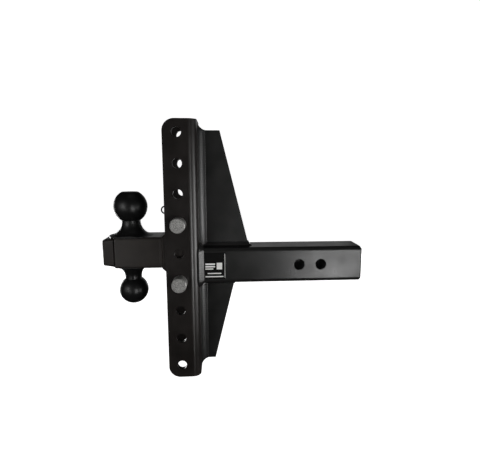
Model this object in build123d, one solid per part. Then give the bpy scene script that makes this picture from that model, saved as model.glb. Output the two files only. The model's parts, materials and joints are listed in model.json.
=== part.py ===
from build123d import *
import math
import os

# Adjustable trailer hitch: a square receiver shank welded to an upright U-channel,
# and a two-ball mount held between the channel's flanges by two headed pins.
# Millimetres. +X runs along the shank into the receiver, +Z is up, and the origin
# is the centre of the outer receiver-pin hole, on the shank's axis.

INCH = 25.4

# --- driving sizes ---------------------------------------------------------------
SHANK = 2.5 * INCH              # side of the square shank bar
SHANK_R = 7.1                   # radius of the bar's four long corners
SHANK_END = 75.4                # receiver end, measured from the outer pin hole
SHANK_END_CHAMFER = 3.0
PIN_HOLE_R = 11 / 16 * INCH / 2  # receiver-pin holes
PIN_HOLE_STEP = 38.9            # from the outer hole to the inner one
PIN_HOLE_CHAMFER = 1.2

WEB_X = -216.6                  # back face of the channel's web, where the shank butts
CH_WIDTH = 3.5 * INCH           # over the two flanges
CH_PLATE = 0.375 * INCH         # plate thickness
CH_DEPTH = 56.2                 # web's back face to the flange tips
CH_BEND_OUT = 14.3              # outside bend radius
CH_TIP_R = 20.3                 # rounded corners of each flange
HOLE_PITCH = 2.0 * INCH
HOLE_COUNT = 9
HOLES_BELOW = 3.5               # the lowest hole is this many pitches below the axis
HOLE_EDGE_LOW = 22.8            # end holes to the channel's ends
HOLE_EDGE_TOP = 21.8
HOLE_TIP = 23.3                 # hole line to the flange tips
PIN_SLACK = 0.2625              # between a pin and the wall of its hole

GUSSET_T = 0.5 * INCH
GU_END_GAP = 15.5               # upper gusset: below the channel's top, top and foot width
GU_TOP_W = 37.9
GU_FOOT_W = 88.6
GL_END_GAP = 17.7               # lower gusset: above the channel's foot, end and root width
GL_END_W = 26.0
GL_ROOT_W = 63.1

BEAD_WEB = 13.0                 # fillet weld legs
BEAD_FOOT = 7.0
BEAD_SHANK = 8.5

SLIP = 0.4                      # gap each side between ball mount and flanges
ARM_W = 2.5 * INCH
ARM_H = 54.6
ARM_DROP = 0.6                  # arm's axis below the middle of the two pins
ARM_R = 4.0                     # edge radius of the arm
ARM_END_R = 2.4                 # edge radius of the bar's end, behind the nose
ARM_END_BACK = 24.6             # ball axis to the bar's end
NOSE_L = 22.0                   # tapered nose, from the bar's end to its tip
NOSE_ROOT_IN = (2.0, 2.5)       # how far its root and tip, and the groove behind it,
NOSE_TIP_IN = (10.65, 4.5)      # lie inside the bar's sides, across and upright
GROOVE_IN = (5.0, 3.6)
GROOVE_W = 1.8                  # width of that groove
NOSE_TIP_DROP = 1.3
NOSE_R = 4.0
NOSE_TIP_R = 2.5
ARM_BEVEL = 4.0                 # weld bevel round the arm's root
INSERT_PIN_EDGE = 28.2          # each mount pin to the insert's nearer end
INSERT_GAP = 1.2                # insert's back to the web
INSERT_BACK_CHAMFER = 5.0
INSERT_FRONT_BEVEL = 2.4
INSERT_FRONT = 1.3              # insert's front behind the flange tips
INSERT_NOSE = 9.2               # how far the arm's seat stands out of that front
PIN_SPAN = 2                    # pitches between the two mount pins
MOUNT_STEP = 0.5                # pitches from the shank axis to the mount's middle

BALL_BACK = 87.7                # ball axis to the hole line
BALL_L_R = (2 + 5 / 16) * INCH / 2
BALL_L_UP = 78.3                # ball centres, measured from the arm's axis
BALL_L_FLAT = 25.9              # centre to the flat on top
BALL_L_NECK_R = 16.4
BALL_L_BASE_R = 26.0            # where the turned flare ends and the weld carries it on
BALL_L_FLARE = (40.5, 51.8)     # flare's outer radius, and its top above the arm's axis
BALL_L_SPIGOT_R = 12.7
BALL_S_R = 2.0 * INCH / 2
BALL_S_DOWN = 72.4
BALL_S_FLAT = 23.8
BALL_S_NECK_R = 14.7
BALL_S_BASE_R = 22.0
BALL_S_FLARE = (36.0, 46.4)
BALL_S_SPIGOT_R = 9.5
SPIGOT_L = 20.0
SPIGOT_FIT = 0.05               # radial fit of a spigot in its bore
SPIGOT_END_GAP = 1.0

PIN_R = 5 / 8 * INCH / 2
PIN_HEAD_R = 0.5 * INCH
PIN_HEAD_L = 22.0
PIN_HEAD_CHAMFER = 1.2
PIN_STICKS_OUT = 12.0           # shaft past the far flange
PIN_TIP_CHAMFER = 2.0
CLIP_OUT = 5.2                  # clip's plane to the far flange's face
WIRE_R = 1.4
WIRE_GAP = 0.35                 # clip wire to the wall of the pin's cross hole
LOOP_R = 6.9                    # centreline radius of the clip's loop
LOOP_FROM_PIN = 36.9
CLIP_TAIL = 18.0                # straight leg past the pin's axis
CLIP_LEGS_GAP = 1.0             # least gap between the clip's two legs
CLIP_UP_TILT = 13.6             # degrees above level, loop towards the balls
CLIP_LOW_TILT = 8.0             # degrees above level, loop towards the receiver

LABEL_W = 36.6
LABEL_H = 48.0
LABEL_T = 0.3

# --- sizes that follow from them ------------------------------------------------
CH_HALF = CH_WIDTH / 2
CH_INSIDE = CH_WIDTH - 2 * CH_PLATE
TIP_X = WEB_X - CH_DEPTH
HOLE_X = TIP_X + HOLE_TIP
HOLE_R = PIN_R + PIN_SLACK
HOLE_Z = [(k - HOLES_BELOW) * HOLE_PITCH for k in range(HOLE_COUNT)]
CH_Z0 = HOLE_Z[0] - HOLE_EDGE_LOW
CH_Z1 = HOLE_Z[-1] + HOLE_EDGE_TOP
GU_TOP_Z = CH_Z1 - GU_END_GAP
GL_END_Z = CH_Z0 + GL_END_GAP
MOUNT_Z = MOUNT_STEP * HOLE_PITCH
ARM_Z = MOUNT_Z - ARM_DROP
INSERT_W = CH_INSIDE - 2 * SLIP
INSERT_H = PIN_SPAN * HOLE_PITCH + 2 * INSERT_PIN_EDGE
NOSE_ROOT = (ARM_W - 2 * NOSE_ROOT_IN[0], ARM_H - 2 * NOSE_ROOT_IN[1])
NOSE_TIP = (ARM_W - 2 * NOSE_TIP_IN[0], ARM_H - 2 * NOSE_TIP_IN[1])
GROOVE = (ARM_W - 2 * GROOVE_IN[0], ARM_H - 2 * GROOVE_IN[1])
INSERT_X1 = WEB_X - CH_PLATE - INSERT_GAP
INSERT_X0 = TIP_X + INSERT_FRONT
ARM_X1 = INSERT_X0 - INSERT_NOSE
BALL_X = HOLE_X - BALL_BACK
ARM_X0 = BALL_X - ARM_END_BACK
PIN_UP_Z = MOUNT_Z + PIN_SPAN / 2 * HOLE_PITCH
PIN_LOW_Z = MOUNT_Z - PIN_SPAN / 2 * HOLE_PITCH
CLIP_Y = CH_HALF + CLIP_OUT
H = SHANK / 2


def block(x0, x1, y0, y1, z0, z1):
    """A box between two opposite corners."""
    size = Box(x1 - x0, y1 - y0, z1 - z0)
    return Pos((x0 + x1) / 2, (y0 + y1) / 2, (z0 + z1) / 2) * size


def cross_hole(x, z, r, y0, y1):
    """A cylinder along Y, for drilling."""
    return Pos(x, (y0 + y1) / 2, z) * Rot(90, 0, 0) * Cylinder(r, y1 - y0)


def plate_xz(points, half_t):
    """A flat plate in the XZ plane, centred on Y = 0."""
    face = make_face(Polyline([(x, 0, z) for x, z in points], close=True))
    return extrude(face, half_t, dir=(0, 1, 0), both=True)


def shank():
    """Square bar with rounded corners and two chamfered receiver-pin holes."""
    section = Plane((WEB_X, 0, 0), x_dir=(0, 1, 0), z_dir=(1, 0, 0))
    bar = extrude(section * RectangleRounded(SHANK, SHANK, SHANK_R), SHANK_END - WEB_X)
    bar = chamfer(bar.faces().sort_by(Axis.X)[-1].edges(), SHANK_END_CHAMFER)
    for x in (0, -PIN_HOLE_STEP):
        bar -= cross_hole(x, 0, PIN_HOLE_R, -H - 1, H + 1)
        for side in (-1, 1):
            cone = Cone(PIN_HOLE_R + PIN_HOLE_CHAMFER, PIN_HOLE_R, PIN_HOLE_CHAMFER)
            place = Pos(x, side * (H - PIN_HOLE_CHAMFER / 2), 0)
            bar -= place * Rot(90 * side, 0, 0) * cone
    return bar


def channel():
    """Bent U-channel, open towards the balls, with nine holes through both flanges."""
    body = block(TIP_X, WEB_X, -CH_HALF, CH_HALF, CH_Z0, CH_Z1)
    corners = body.edges().filter_by(Axis.Z).group_by(Axis.X)[-1]
    body = fillet(corners, CH_BEND_OUT)
    half = CH_INSIDE / 2
    slot = block(TIP_X - 1, WEB_X - CH_PLATE, -half, half, CH_Z0 - 1, CH_Z1 + 1)
    slot = fillet(slot.edges().filter_by(Axis.Z).group_by(Axis.X)[-1], CH_BEND_OUT - CH_PLATE)
    body -= slot
    tips = body.edges().filter_by(Axis.Y).group_by(Axis.X)[0]
    body = fillet(tips, CH_TIP_R)
    for z in HOLE_Z:
        body -= cross_hole(HOLE_X, z, HOLE_R, -CH_HALF - 1, CH_HALF + 1)
    return body


def gusset_upper():
    """Tapered stiffening plate between the web and the top of the shank."""
    points = [
        (WEB_X, H),
        (WEB_X + GU_FOOT_W, H),
        (WEB_X + GU_TOP_W, GU_TOP_Z),
        (WEB_X, GU_TOP_Z),
    ]
    return plate_xz(points, GUSSET_T / 2)


def gusset_lower():
    """The same under the shank, shorter and narrower."""
    points = [
        (WEB_X, -H),
        (WEB_X + GL_ROOT_W, -H),
        (WEB_X + GL_END_W, GL_END_Z),
        (WEB_X, GL_END_Z),
    ]
    return plate_xz(points, GUSSET_T / 2)


def bead_section(plane, leg):
    """Triangular fillet-weld section with a slightly hollow face."""
    sag = 0.36 * leg
    outline = Polyline([(leg, 0), (0, 0), (0, leg)]) + ThreePointArc((leg, 0), (sag, sag), (0, leg))
    return make_face(plane * outline)


def web_bead(z_end, side):
    """Fillet bead up one face of a gusset, over its end and down the other face."""
    t = GUSSET_T / 2
    z_root = side * H
    pieces = []
    for sy in (-1, 1):
        run = Plane((WEB_X, sy * t, z_root), x_dir=(1, 0, 0), z_dir=(0, 0, sy))
        pieces.append(extrude(bead_section(run, BEAD_WEB), z_end - z_root, dir=(0, 0, 1)))
        corner = Axis((WEB_X, sy * t, z_end), (1, 0, 0))
        pieces.append(revolve(bead_section(run.offset(sy * (z_end - z_root)), BEAD_WEB),
                              corner, 90 * sy * side))
    top = Plane((WEB_X, -t, z_end), x_dir=(1, 0, 0), z_dir=(0, -side, 0))
    pieces.append(extrude(bead_section(top, BEAD_WEB), GUSSET_T, dir=(0, 1, 0)))
    bead = pieces[0]
    for piece in pieces[1:]:
        bead += piece
    return bead


def foot_bead(x_toe, side, web):
    """Fillet bead along both faces of a gusset's foot and round its toe."""
    t = GUSSET_T / 2
    z = side * H
    x0 = WEB_X + BEAD_WEB / 2
    pieces = []
    for sy in (-1, 1):
        run = Plane((x0, sy * t, z), x_dir=(0, sy, 0), z_dir=(sy * side, 0, 0))
        pieces.append(extrude(bead_section(run, BEAD_FOOT), x_toe - x0, dir=(1, 0, 0)))
        end = Plane((x_toe, sy * t, z), x_dir=(0, sy, 0), z_dir=(sy * side, 0, 0))
        turn = Axis((x_toe, sy * t, z), (0, 0, 1))
        pieces.append(revolve(bead_section(end, BEAD_FOOT), turn, -90 * sy))
    toe = Plane((x_toe, -t, z), x_dir=(1, 0, 0), z_dir=(0, -side, 0))
    pieces.append(extrude(bead_section(toe, BEAD_FOOT), GUSSET_T, dir=(0, 1, 0)))
    bead = pieces[0]
    for piece in pieces[1:]:
        bead += piece
    return bead - web


def shank_bead(taken):
    """Fillet bead round the shank where it butts against the web."""
    start = Plane((WEB_X - 3, 0, 0), x_dir=(0, 1, 0), z_dir=(1, 0, 0))
    wide = SHANK + 2 * BEAD_SHANK
    round_r = SHANK_R + BEAD_SHANK
    skirt = extrude(start * RectangleRounded(wide, wide, round_r), 3)
    slope = start.offset(3) * RectangleRounded(wide, wide, round_r)
    end = start.offset(3 + BEAD_SHANK) * RectangleRounded(SHANK + 0.02, SHANK + 0.02, SHANK_R)
    ring = skirt + loft([slope, end])
    for other in taken:
        ring -= other
    return ring.solids().filter_by(lambda s: s.volume > 50)


def mount_insert():
    """Upright block that slides between the flanges and takes both pins."""
    half = INSERT_H / 2
    seat = ARM_H / 2
    points = [
        (INSERT_X1, MOUNT_Z - half),
        (INSERT_X1, MOUNT_Z + half),
        (INSERT_X0, MOUNT_Z + half),
        (INSERT_X0, ARM_Z + seat + INSERT_NOSE),
        (ARM_X1, ARM_Z + seat),
        (ARM_X1, ARM_Z - seat),
        (INSERT_X0, ARM_Z - seat - INSERT_NOSE),
        (INSERT_X0, MOUNT_Z - half),
    ]
    body = plate_xz(points, INSERT_W / 2)
    back = body.edges().filter_by(Axis.Z).group_by(Axis.X)[-1]
    body = chamfer(back, INSERT_BACK_CHAMFER)
    front = [
        e for e in body.edges()
        if e.center().X < INSERT_X0 + 1 and abs(e.center().Y) > INSERT_W / 2 - 1
    ]
    body = chamfer(front, INSERT_FRONT_BEVEL)
    for z in (PIN_UP_Z, PIN_LOW_Z):
        body -= cross_hole(HOLE_X, z, HOLE_R, -CH_HALF, CH_HALF)
    return body


def arm_blank():
    """The arm before its root bevel: a bar with eased edges, a groove and a tapered nose."""
    length = ARM_X1 - ARM_X0
    facing = Plane((ARM_X1, 0, ARM_Z), x_dir=(0, -1, 0), z_dir=(-1, 0, 0))
    bar = extrude(facing * RectangleRounded(ARM_W, ARM_H, ARM_R), length)
    bar = fillet(bar.faces().sort_by(Axis.X)[0].edges(), ARM_END_R)
    neck = extrude(facing.offset(length - 1) * RectangleRounded(*GROOVE, NOSE_R), GROOVE_W + 2)
    root = facing.offset(length + GROOVE_W) * RectangleRounded(*NOSE_ROOT, NOSE_R)
    end = facing.offset(length + NOSE_L) * Pos(0, -NOSE_TIP_DROP)
    nose = loft([root, end * RectangleRounded(*NOSE_TIP, NOSE_R)])
    nose = fillet(nose.faces().sort_by(Axis.X)[0].edges(), NOSE_TIP_R)
    return bar + neck + nose


def mount_arm(blank):
    """Solid arm, bevelled at its root, with a blind bore for each ball's spigot."""
    bevel_x = ARM_X1 - ARM_BEVEL
    root = Plane((bevel_x, 0, ARM_Z), x_dir=(0, 1, 0), z_dir=(1, 0, 0))
    keep = block(ARM_X0 - 2 * NOSE_L, bevel_x, -H, H, ARM_Z - H, ARM_Z + H)
    keep += extrude(root * Rectangle(ARM_W, ARM_H), ARM_BEVEL, taper=45)
    bar = blank & keep
    depth = SPIGOT_L + SPIGOT_END_GAP
    for r, sign in ((BALL_L_SPIGOT_R, 1), (BALL_S_SPIGOT_R, -1)):
        z = ARM_Z + sign * (ARM_H / 2 - depth / 2)
        bar -= Pos(BALL_X, 0, z) * Cylinder(r + SPIGOT_FIT, depth)
    return bar


def arm_weld(blank, arm):
    """Groove weld filling the bevel round the arm's root."""
    keep = block(ARM_X1 - ARM_BEVEL, ARM_X1, -H, H, ARM_Z - H, ARM_Z + H)
    return (blank & keep) - arm


def flare_point(neck_r, flare, turn):
    """Point on the hollow flare under a ball: a quarter ellipse, turn in degrees."""
    out, top = flare
    a = math.radians(turn)
    across = out - (out - neck_r) * math.cos(a)
    return across, top - (top - ARM_H / 2) * math.sin(a)


def flare_turn(neck_r, flare, r):
    """Turn at which that flare reaches radius r."""
    return math.degrees(math.acos((flare[0] - r) / (flare[0] - neck_r)))


def turned(points_and_arc, sign):
    """Revolves a closed (radius, height) outline round the balls' axis, up or down."""
    upright = Plane((BALL_X, 0, ARM_Z), x_dir=(1, 0, 0), z_dir=(0, -sign, 0))
    face = make_face(upright * points_and_arc)
    return revolve(face, Axis((BALL_X, 0, ARM_Z), (0, 0, 1)), 360)


def ball(r, centre, flat, neck_r, base_r, flare, spigot_r, sign):
    """Towing ball, neck, flared base and spigot, turned in one piece about Z."""
    seat = ARM_H / 2
    join = centre - math.sqrt(r * r - neck_r * neck_r)
    tip_r = math.sqrt(r * r - flat * flat)
    stop = flare_turn(neck_r, flare, base_r)
    rim = flare_point(neck_r, flare, stop)
    mid = flare_point(neck_r, flare, stop / 2)
    top = (neck_r, flare[1])
    outline = Polyline([(0, centre + flat), (0, seat - SPIGOT_L), (spigot_r, seat - SPIGOT_L),
                        (spigot_r, seat), (base_r, seat), rim])
    outline += ThreePointArc(rim, mid, top)
    outline += Line(top, (neck_r, join))
    outline += ThreePointArc((neck_r, join), (r, centre), (tip_r, centre + flat))
    outline += Line((tip_r, centre + flat), (0, centre + flat))
    return turned(outline, sign)


def ball_weld(neck_r, base_r, flare, blank, sign):
    """Broad hollow fillet that carries a ball's flare out onto the arm, dressed to its sides."""
    start = flare_turn(neck_r, flare, base_r)
    stop = 84
    inner = flare_point(neck_r, flare, start)
    mid = flare_point(neck_r, flare, (start + stop) / 2)
    outer = flare_point(neck_r, flare, stop)
    foot = ARM_H / 2 - ARM_R
    outline = Polyline([inner, (base_r, foot), (outer[0], foot), outer])
    outline += ThreePointArc(outer, mid, inner)
    side = ARM_W / 2 - 0.5
    keep = block(BALL_X - 60, BALL_X + 60, -side, side, -200, 200)
    return (turned(outline, sign) & keep) - blank


def clip_plane(z, tilt, towards):
    """Plane of one clip: its x runs from the pin's axis to the loop."""
    a = math.radians(tilt)
    along = (towards * math.cos(a), 0, math.sin(a))
    return Plane((HOLE_X, CLIP_Y, z), x_dir=along, z_dir=(0, towards * -1, 0))


def pin(z, plane):
    """Headed pin with a cross hole for its clip near the far end."""
    far = CH_HALF + PIN_STICKS_OUT
    shaft = cross_hole(HOLE_X, z, PIN_R, -CH_HALF, far)
    shaft = chamfer(shaft.edges().sort_by(Axis.Y)[-1], PIN_TIP_CHAMFER)
    head = cross_hole(HOLE_X, z, PIN_HEAD_R, -CH_HALF - PIN_HEAD_L, -CH_HALF)
    head = chamfer(head.edges().sort_by(Axis.Y)[0], PIN_HEAD_CHAMFER)
    drill = Plane(plane.origin, x_dir=plane.z_dir, z_dir=plane.x_dir)
    hole = drill * Cylinder(WIRE_R + WIRE_GAP, 4 * PIN_R)
    return shaft + head - hole


def clip(plane):
    """Hairpin clip: a straight leg through the pin, a loop and a leg sprung over it."""
    hug = PIN_R + WIRE_R + WIRE_GAP
    angles = [math.radians(a) for a in (45, 68, 90, 112, 135)]
    arc = [(hug * math.cos(a), hug * math.sin(a)) for a in angles]
    leg = Line((-CLIP_TAIL, 0), (LOOP_FROM_PIN, 0))
    far = LOOP_R * math.sqrt(0.5)
    crown = (LOOP_FROM_PIN + far, LOOP_R + far)
    neck = (LOOP_FROM_PIN - LOOP_R, LOOP_R)
    loop = ThreePointArc((LOOP_FROM_PIN, 0), crown, neck)
    low = 2 * WIRE_R + CLIP_LEGS_GAP
    waist = [(25.6, low), (17.0, low), (11.2, low + 0.9)]
    tip = [(-11.6, 5.9), (-16.0, 8.2)]
    back = Spline([neck] + waist + arc + tip, tangents=[(0, -1), (-1, 0.8)])
    path = plane * Wire([leg, loop, back])
    start = Plane(path @ 0, z_dir=path % 0)
    return sweep(start * Circle(WIRE_R), path=path)


def label():
    """Thin adhesive plate on the shank's side, next to the weld."""
    x0 = WEB_X + BEAD_SHANK + 0.6
    return block(x0, x0 + LABEL_W, -H - LABEL_T, -H, -LABEL_H / 2, LABEL_H / 2)


def assembly():
    """Every piece by name."""
    bar = shank()
    chan = channel()
    upper = gusset_upper()
    lower = gusset_lower()
    web_up = web_bead(GU_TOP_Z, 1)
    web_low = web_bead(GL_END_Z, -1)
    foot_up = foot_bead(WEB_X + GU_FOOT_W, 1, web_up)
    foot_low = foot_bead(WEB_X + GL_ROOT_W, -1, web_low)
    blank = arm_blank()
    arm = mount_arm(blank)
    up_plane = clip_plane(PIN_UP_Z, CLIP_UP_TILT, -1)
    low_plane = clip_plane(PIN_LOW_Z, CLIP_LOW_TILT, 1)
    return {
        "shank": bar,
        "channel": chan,
        "gusset_upper": upper,
        "gusset_lower": lower,
        "weld_gusset_upper_web": web_up,
        "weld_gusset_lower_web": web_low,
        "weld_gusset_upper_foot": foot_up,
        "weld_gusset_lower_foot": foot_low,
        "weld_shank_web": shank_bead([bar, chan, upper, lower, web_up, web_low, foot_up, foot_low]),
        "mount_insert": mount_insert(),
        "mount_arm": arm,
        "weld_arm_insert": arm_weld(blank, arm),
        "ball_large": ball(BALL_L_R, BALL_L_UP, BALL_L_FLAT, BALL_L_NECK_R, BALL_L_BASE_R,
                           BALL_L_FLARE, BALL_L_SPIGOT_R, 1),
        "ball_small": ball(BALL_S_R, BALL_S_DOWN, BALL_S_FLAT, BALL_S_NECK_R, BALL_S_BASE_R,
                           BALL_S_FLARE, BALL_S_SPIGOT_R, -1),
        "weld_ball_large": ball_weld(BALL_L_NECK_R, BALL_L_BASE_R, BALL_L_FLARE, blank, 1),
        "weld_ball_small": ball_weld(BALL_S_NECK_R, BALL_S_BASE_R, BALL_S_FLARE, blank, -1),
        "pin_upper": pin(PIN_UP_Z, up_plane),
        "pin_lower": pin(PIN_LOW_Z, low_plane),
        "clip_upper": clip(up_plane),
        "clip_lower": clip(low_plane),
        "label": label(),
    }


os.makedirs("parts", exist_ok=True)
for name, shape in assembly().items():
    solids = shape if isinstance(shape, (list, ShapeList)) else shape.solids()
    export_step(Compound(children=list(solids)), f"parts/{name}.step")
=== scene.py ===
import json
import math

import bpy
import numpy as np
from mathutils import Matrix, Vector


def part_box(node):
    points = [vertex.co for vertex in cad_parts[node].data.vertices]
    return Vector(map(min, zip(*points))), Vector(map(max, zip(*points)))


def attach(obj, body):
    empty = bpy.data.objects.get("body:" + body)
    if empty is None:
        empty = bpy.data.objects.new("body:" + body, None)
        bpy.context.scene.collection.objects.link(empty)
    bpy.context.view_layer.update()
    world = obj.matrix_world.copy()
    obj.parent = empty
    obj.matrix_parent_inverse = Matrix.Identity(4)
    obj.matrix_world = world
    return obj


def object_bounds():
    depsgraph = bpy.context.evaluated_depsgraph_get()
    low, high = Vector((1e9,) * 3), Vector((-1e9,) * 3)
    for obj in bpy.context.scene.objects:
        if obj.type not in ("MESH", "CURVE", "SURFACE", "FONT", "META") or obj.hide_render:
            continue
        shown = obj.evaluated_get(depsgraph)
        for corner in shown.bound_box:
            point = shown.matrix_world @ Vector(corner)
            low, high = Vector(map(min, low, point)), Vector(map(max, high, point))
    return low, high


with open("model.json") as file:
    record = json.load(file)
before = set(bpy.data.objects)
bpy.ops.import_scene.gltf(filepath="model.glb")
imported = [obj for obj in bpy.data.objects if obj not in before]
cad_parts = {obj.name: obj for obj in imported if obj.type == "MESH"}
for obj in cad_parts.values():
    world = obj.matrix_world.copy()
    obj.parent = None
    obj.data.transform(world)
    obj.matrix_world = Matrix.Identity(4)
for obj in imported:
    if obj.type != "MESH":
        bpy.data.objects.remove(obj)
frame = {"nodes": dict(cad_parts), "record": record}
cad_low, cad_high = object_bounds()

nodes = frame["nodes"]


# --- shank -------------------------------------------------------------------
# The square bar that slides into the vehicle's receiver. Solid steel with its long
# corners rolled round, drilled for the receiver pin, and powder coated satin black.

frame_black = (0.0135, 0.0135, 0.0132)
frame_gloss = 0.30
tone_scale = 34.0          # noise scale at which the tone drifts over some centimetres
pebble_scale = 950.0       # noise scale at which the skin's pebbles are about 1 mm across
pebble_height = 0.00012
ripple_height = 0.0005
eased_edge = 0.0007        # how far the coat rounds a sharp edge
bore_shade_reach = 0.0002         # how far outside a bore the painted shade on its wall reaches


def add_node(tree, kind, **sockets):
    """A shader node with its inputs set by name, _ standing for a space."""
    node = tree.nodes.new("ShaderNode" + kind)
    for name, value in sockets.items():
        node.inputs[name.replace("_", " ")].default_value = value
    return node


def bare_surface(name):
    """A new material, its node tree, its shader, and the place on the piece."""
    mat = bpy.data.materials.new(name)
    mat.use_nodes = True
    tree = mat.node_tree
    place = add_node(tree, "TexCoord").outputs["Object"]
    return mat, tree, tree.nodes["Principled BSDF"], place


def speckle(tree, place, scale, **sockets):
    """Soft random specks, finer as scale rises."""
    noise = add_node(tree, "TexNoise", Scale=scale, **sockets)
    tree.links.new(place, noise.inputs["Vector"])
    return noise.outputs["Fac"]


def two_tone(tree, amount, dark, light, start=0.0, end=1.0):
    """A colour going straight from dark to light as amount goes from start to end."""
    ramp = add_node(tree, "ValToRGB")
    first, last = ramp.color_ramp.elements
    first.position, first.color = start, (*dark, 1)
    last.position, last.color = end, (*light, 1)
    tree.links.new(amount, ramp.inputs["Fac"])
    return ramp.outputs["Color"]


def graded(tree, amount, low, high, start=0.0, end=1.0):
    """A number going straight from low to high as amount goes from start to end."""
    span = add_node(tree, "MapRange", From_Min=start, From_Max=end, To_Min=low, To_Max=high)
    tree.links.new(amount, span.inputs["Value"])
    return span.outputs["Result"]


def raised(tree, height, strength, tallest, over=None):
    """Small relief, up to tallest metres, laid over another relief if one is given."""
    bump = add_node(tree, "Bump", Strength=strength, Distance=tallest)
    tree.links.new(height, bump.inputs["Height"])
    if over:
        tree.links.new(over, bump.inputs["Normal"])
    return bump.outputs["Normal"]


def inside_bores(tree, place, holes):
    """1 inside any hole and 0 elsewhere. A hole is (x, z, radius) of a bore along y, and
    a place is inside where its distance in x and z from the bore's axis is less than
    the radius."""
    inside = None
    for x, z, radius in holes:
        across = add_node(tree, "VectorMath")
        across.operation = "MULTIPLY_ADD"
        across.inputs[1].default_value = (1, 0, 1)
        across.inputs[2].default_value = (-x, 0, -z)
        reach = add_node(tree, "VectorMath")
        reach.operation = "LENGTH"
        near = add_node(tree, "Math")
        near.operation = "LESS_THAN"
        near.inputs[1].default_value = radius
        tree.links.new(place, across.inputs[0])
        tree.links.new(across.outputs["Vector"], reach.inputs[0])
        tree.links.new(reach.outputs["Value"], near.inputs[0])
        if inside is None:
            inside = near.outputs["Value"]
            continue
        either = add_node(tree, "Math")
        either.operation = "MAXIMUM"
        tree.links.new(inside, either.inputs[0])
        tree.links.new(near.outputs["Value"], either.inputs[1])
        inside = either.outputs["Value"]
    return inside


def powder_coat(name, shade, gloss, peel, ripple=None, holes=()):
    """Satin black powder coat: a fine pebbled skin about a millimetre across, slow
    changes in tone and sheen over some centimetres, and sharp edges eased by the
    thickness of the coat. A ripple is (spacing in metres, axis the bead runs along):
    sine bands across that axis, bent by noise, as the steps of a weld bead. Inside the
    holes the colour is darkened to a third as painted shade on the bore walls, and the
    skin is made rougher there."""
    mat, tree, shader, place = bare_surface(name)
    link = tree.links.new
    drift = speckle(tree, place, tone_scale, Detail=5.0)
    pebbles = speckle(tree, place, pebble_scale, Detail=3.0)
    darker, lighter = [0.78 * c for c in shade], [1.2 * c for c in shade]
    colour = two_tone(tree, drift, darker, lighter, 0.30, 0.72)
    rough = graded(tree, drift, gloss - 0.03, gloss + 0.04, 0.3, 0.7)
    eased = add_node(tree, "Bevel", Radius=eased_edge)
    eased.samples = 4
    skin = raised(tree, pebbles, peel, pebble_height, eased.outputs["Normal"])
    if ripple:
        spacing, axis = ripple
        bands = add_node(
            tree, "TexWave", Scale=0.314 / spacing, Distortion=4.5, Detail=2.0, Detail_Scale=1.4
        )
        bands.wave_type = "BANDS"
        bands.bands_direction = axis
        link(place, bands.inputs["Vector"])
        skin = raised(tree, bands.outputs["Fac"], 0.22, ripple_height, skin)
    # Painted shade: inside the bores the colour drops to a third of the coat's, and the roughness
    # is raised there as well.
    if holes:
        inside = inside_bores(tree, place, holes)
        bore_shade = add_node(tree, "MixRGB", Color2=(*[0.3 * c for c in shade], 1))
        dull = add_node(tree, "MapRange", To_Max=0.85)
        link(inside, bore_shade.inputs["Fac"])
        link(colour, bore_shade.inputs["Color1"])
        link(inside, dull.inputs["Value"])
        link(rough, dull.inputs["To Min"])
        colour, rough = bore_shade.outputs["Color"], dull.outputs["Result"]
    link(colour, shader.inputs["Base Color"])
    link(rough, shader.inputs["Roughness"])
    link(skin, shader.inputs["Normal"])
    shader.inputs["Specular IOR Level"].default_value = 0.3
    return mat


def dress(mat, *names):
    """Gives CAD nodes their finish."""
    for name in names:
        nodes[name].data.materials.clear()
        nodes[name].data.materials.append(mat)


# The receiver pin bores, whose walls get painted shade in the shank's coat.
receiver_bores = [
    (mount["pos_m"][0], mount["pos_m"][2], mount["dims"]["r_mm"] / 1000 + bore_shade_reach)
    for mount in frame["record"]["mounts"]
    if mount["name"].startswith("receiver_pin")
]
shank_coat = powder_coat("shank_coat", frame_black, frame_gloss, 0.30, holes=receiver_bores)
dress(shank_coat, "shank")


# --- label -------------------------------------------------------------------
# A black vinyl sticker on the shank's near side, next to the weld. Its print is plain
# white bars with no wording, flat ink a few hundredths of a millimetre thick.

vinyl_black = (0.003, 0.003, 0.003)
ink_white = (0.88, 0.88, 0.86)
ink_lift = 0.00004
ink_bars = [                      # left, right, foot and head as shares of the label
    (0.04, 0.50, 0.54, 0.60),
    (0.04, 0.50, 0.45, 0.50),
    (0.04, 0.42, 0.37, 0.41),
    (0.58, 0.84, 0.37, 0.62),
    (0.14, 0.80, 0.20, 0.24),
    (0.04, 0.90, 0.08, 0.12),
    (0.965, 0.985, 0.04, 0.96),
]


def printed_bars(name, low, high, y, bars):
    """Flat ink bars on an upright face at y. Each bar is (left, right, foot, head) as
    shares of the face from low to high; its four corners are those shares times the
    face's width and height, all bars at once as one array."""
    share = np.array(bars, float)
    x = low.x + share[:, [0, 1, 1, 0]] * (high.x - low.x)
    z = low.z + share[:, [2, 2, 3, 3]] * (high.z - low.z)
    points = np.stack([x, np.full_like(x, y), z], axis=2).reshape(-1, 3)
    faces = np.arange(len(points)).reshape(-1, 4)
    mesh = bpy.data.meshes.new(name)
    mesh.from_pydata(points.tolist(), [], faces.tolist())
    piece = bpy.data.objects.new(name, mesh)
    bpy.context.scene.collection.objects.link(piece)
    return piece


def vinyl(name, colour, rough):
    """Sticker vinyl or its ink: a faint cloudiness in tone a few millimetres across."""
    mat, tree, shader, place = bare_surface(name)
    cloud = speckle(tree, place, 420.0)
    tint = two_tone(tree, cloud, [0.85 * c for c in colour], [1.08 * c for c in colour])
    tree.links.new(tint, shader.inputs["Base Color"])
    shader.inputs["Roughness"].default_value = rough
    shader.inputs["Specular IOR Level"].default_value = 0.1
    return mat


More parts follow.
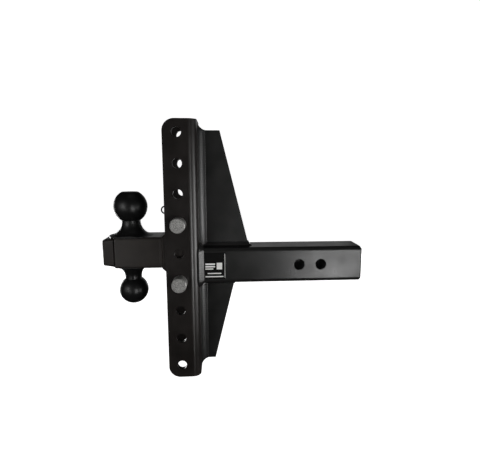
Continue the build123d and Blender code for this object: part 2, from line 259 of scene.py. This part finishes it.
dress(vinyl("label_vinyl", vinyl_black, 0.6), "label")
label_low, label_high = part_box("label")
ink_face = label_low.y - ink_lift
label_marks = printed_bars("label_marks", label_low, label_high, ink_face, ink_bars)
label_marks.data.materials.append(vinyl("label_ink", ink_white, 0.5))
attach(label_marks, "frame")


# --- upright channel -----------------------------------------------------------
# Heavy plate bent to a U, open towards the balls, with nine holes down each flange.
# Black like the shank, a touch darker and warmer.

channel_black = (0.0118, 0.0098, 0.0089)
dress(powder_coat("channel_coat", channel_black, 0.31, 0.30), "channel")


# --- gussets -------------------------------------------------------------------
# Two tapered plates that brace the channel against the shank, sawn from flat bar and
# welded on both faces before coating.

dress(powder_coat("gusset_coat", frame_black, 0.32, 0.36), "gusset_upper", "gusset_lower")


# --- welds on the frame ---------------------------------------------------------
# Fillet beads laid by wire welder along the gussets and round the shank's end. The
# coat runs thick over them, so the ripples show only softly.

bead_peel = 0.2
upright_steps = (0.0042, "Z")
level_steps = (0.0038, "X")
dress(
    powder_coat("bead_up", frame_black, frame_gloss, bead_peel, upright_steps),
    "weld_gusset_upper_web", "weld_gusset_lower_web", "weld_shank_web",
)
dress(
    powder_coat("bead_along", frame_black, frame_gloss, bead_peel, level_steps),
    "weld_gusset_upper_foot", "weld_gusset_lower_foot",
)


# --- ball mount ------------------------------------------------------------------
# A block that slides between the flanges, with a solid bar arm welded to its front.
# Black coat like the frame's, a little warmer and duller.

mount_black = (0.0200, 0.0165, 0.0145)
root_steps = (0.004, "Z")
dress(powder_coat("mount_coat", mount_black, 0.34, 0.34), "mount_insert", "mount_arm")
dress(powder_coat("arm_bead", mount_black, 0.42, bead_peel, root_steps), "weld_arm_insert")


# --- balls -----------------------------------------------------------------------
# Two towing balls turned from bar. Their flared bases stand on the arm in low weld
# rings, and the whole is a smoother, deeper black than the plate work.

ball_black = (0.006, 0.006, 0.006)
dress(
    powder_coat("ball_coat", ball_black, 0.38, 0.10),
    "ball_large", "ball_small", "weld_ball_large", "weld_ball_small",
)


# --- pins ------------------------------------------------------------------------
# Two headed pins through the flanges and the mount. Plain steel, dull zinc plated, with
# a mottled skin from the plating bath.

pin_dark = (0.13, 0.128, 0.123)
pin_light = (0.49, 0.485, 0.467)
crystal_scale = 620.0      # noise scale at which the crystals are about 1 mm across
crystal_height = 0.0001


def zinc_plate(name, dark, light):
    """Dull zinc: crystals about a millimetre across in two greys, with streaks of
    rougher and smoother plate between them."""
    mat, tree, shader, place = bare_surface(name)
    grain = speckle(tree, place, crystal_scale, Detail=4.0, Roughness=0.65)
    tint = two_tone(tree, grain, dark, light, 0.38, 0.62)
    tree.links.new(tint, shader.inputs["Base Color"])
    tree.links.new(graded(tree, grain, 0.38, 0.62), shader.inputs["Roughness"])
    tree.links.new(raised(tree, grain, 0.35, crystal_height), shader.inputs["Normal"])
    shader.inputs["Metallic"].default_value = 0.55
    return mat


dress(zinc_plate("pin_zinc", pin_dark, pin_light), "pin_upper", "pin_lower")


# --- clips -----------------------------------------------------------------------
# Hairpin clips bent from spring wire, one through each pin's far end. Thinly plated,
# darker than the pins.

wire_dark = (0.02, 0.02, 0.02)
wire_light = (0.045, 0.045, 0.045)
dress(zinc_plate("clip_wire", wire_dark, wire_light), "clip_upper", "clip_lower")


# --- studio ------------------------------------------------------------------
# Plain pale floor that curves up into a wall all round, with soft panels of light.
# None of it belongs to the object. The floor is bright to look at but throws no light
# back, so the black coat keeps its depth.

floor_drop = 0.10          # below the object's lowest point
panel_away = 1.8           # from the object's middle


def bowl_floor(name, low, wide, bend, tall, steps):
    """A bowl turned about the upright axis: its outline runs level out to the radius
    wide less bend, round a quarter circle of radius bend, then straight up to tall; each
    point of the outline goes round as x = r cos(a), y = r sin(a). One flat face closes
    the small round hole in its middle."""
    arc = np.linspace(0.0, math.pi / 2, 17)
    r = np.concatenate([[0.02], wide - bend + bend * np.sin(arc), [wide]])
    z = low + np.concatenate([[0.0], bend - bend * np.cos(arc), [tall]])
    a = np.arange(steps) * 2 * math.pi / steps
    x, y = np.outer(np.cos(a), r), np.outer(np.sin(a), r)
    points = np.stack([x, y, np.tile(z, (steps, 1))], axis=2).reshape(-1, 3)
    n = len(r)
    i, k = np.meshgrid(np.arange(steps) * n, np.arange(n - 1), indexing="ij")
    j = np.roll(i, -1, axis=0)
    faces = np.stack([i + k, i + k + 1, j + k + 1, j + k], axis=2).reshape(-1, 4)
    middle = np.arange(steps) * n
    mesh = bpy.data.meshes.new(name)
    mesh.from_pydata(points.tolist(), [], faces.tolist() + [middle.tolist()])
    mesh.polygons.foreach_set("use_smooth", np.ones(len(mesh.polygons), bool))
    piece = bpy.data.objects.new(name, mesh)
    bpy.context.scene.collection.objects.link(piece)
    return piece


def panel(name, turn, rise, width, height, power):
    """A rectangular soft light facing the object from panel_away. Turn is degrees to the
    right of straight in front, rise is degrees above level: its place is
    (sin turn cos rise, -cos turn cos rise, sin rise) times that distance."""
    a, e = math.radians(turn), math.radians(rise)
    out = Vector((math.sin(a) * math.cos(e), -math.cos(a) * math.cos(e), math.sin(e)))
    data = bpy.data.lights.new(name, "AREA")
    data.shape = "RECTANGLE"
    data.size = width
    data.size_y = height
    data.energy = power
    lamp = bpy.data.objects.new(name, data)
    lamp.location = (cad_low + cad_high) / 2 + panel_away * out
    lamp.visible_camera = False
    lamp.rotation_mode = "QUATERNION"
    lamp.rotation_quaternion = (-out).to_track_quat("-Z", "Y")
    bpy.context.scene.collection.objects.link(lamp)


floor = bowl_floor("studio_floor", cad_low.z - floor_drop, wide=4.0, bend=1.0, tall=6.0, steps=96)
pale = bpy.data.materials.new("studio_white")
pale.use_nodes = True
pale_shader = pale.node_tree.nodes["Principled BSDF"]
pale_shader.inputs["Base Color"].default_value = (0.9, 0.9, 0.9, 1)
pale_shader.inputs["Roughness"].default_value = 0.9
pale_shader.inputs["Emission Color"].default_value = (1, 1, 1, 1)
pale_shader.inputs["Emission Strength"].default_value = 1.0
floor.data.materials.append(pale)
floor.visible_diffuse = False
floor.visible_glossy = False

world = bpy.data.worlds.new("studio_air")
world.use_nodes = True
air = world.node_tree.nodes["Background"]
air.inputs["Color"].default_value = (1, 1, 1, 1)
air.inputs["Strength"].default_value = 0.015
bpy.context.scene.world = world

panel("left_far", -60, 5, 0.5, 0.8, 2.0)
panel("left_front", -42, 6, 0.4, 0.7, 7.9)
panel("left_low", -27, -12, 0.35, 0.35, 1.6)
panel("right_front", 22, -12, 0.35, 0.8, 18.5)
panel("right", 60, -8, 0.5, 0.7, 8)
panel("right_far", 80, -8, 0.6, 0.7, 18)
panel("above", 0, 80, 0.8, 0.8, 0.5)
panel("behind", 180, 14, 1.6, 0.6, 1.1)
panel("behind_low", 173, -8, 0.7, 0.35, 1.7)
panel("behind_left", -140, -6, 0.6, 0.8, 14)
panel("behind_right", 135, -6, 0.6, 0.8, 14)


# --- camera ------------------------------------------------------------------
# A little above the shank and in front of it, looking slightly down and to the right.
# Angles are in radians, places in metres.

camera_place = (-0.17607, -0.73451, 0.16983)
camera_pan = -0.0787
camera_tilt = -0.1624
camera_roll = 0.0019

camera_data = bpy.data.cameras.new("camera")
camera_data.sensor_width = 36.0
camera_data.lens = 30.56
camera_data.shift_x = -0.0289
camera_data.shift_y = 0.0190
camera = bpy.data.objects.new("camera", camera_data)
camera.matrix_world = (
    Matrix.Translation(camera_place)
    @ Matrix.Rotation(camera_pan, 4, "Z")
    @ Matrix.Rotation(math.pi / 2 + camera_tilt, 4, "X")
    @ Matrix.Rotation(camera_roll, 4, "Z")
)
bpy.context.scene.collection.objects.link(camera)
bpy.context.scene.camera = camera
bpy.context.scene.view_settings.view_transform = "Standard"
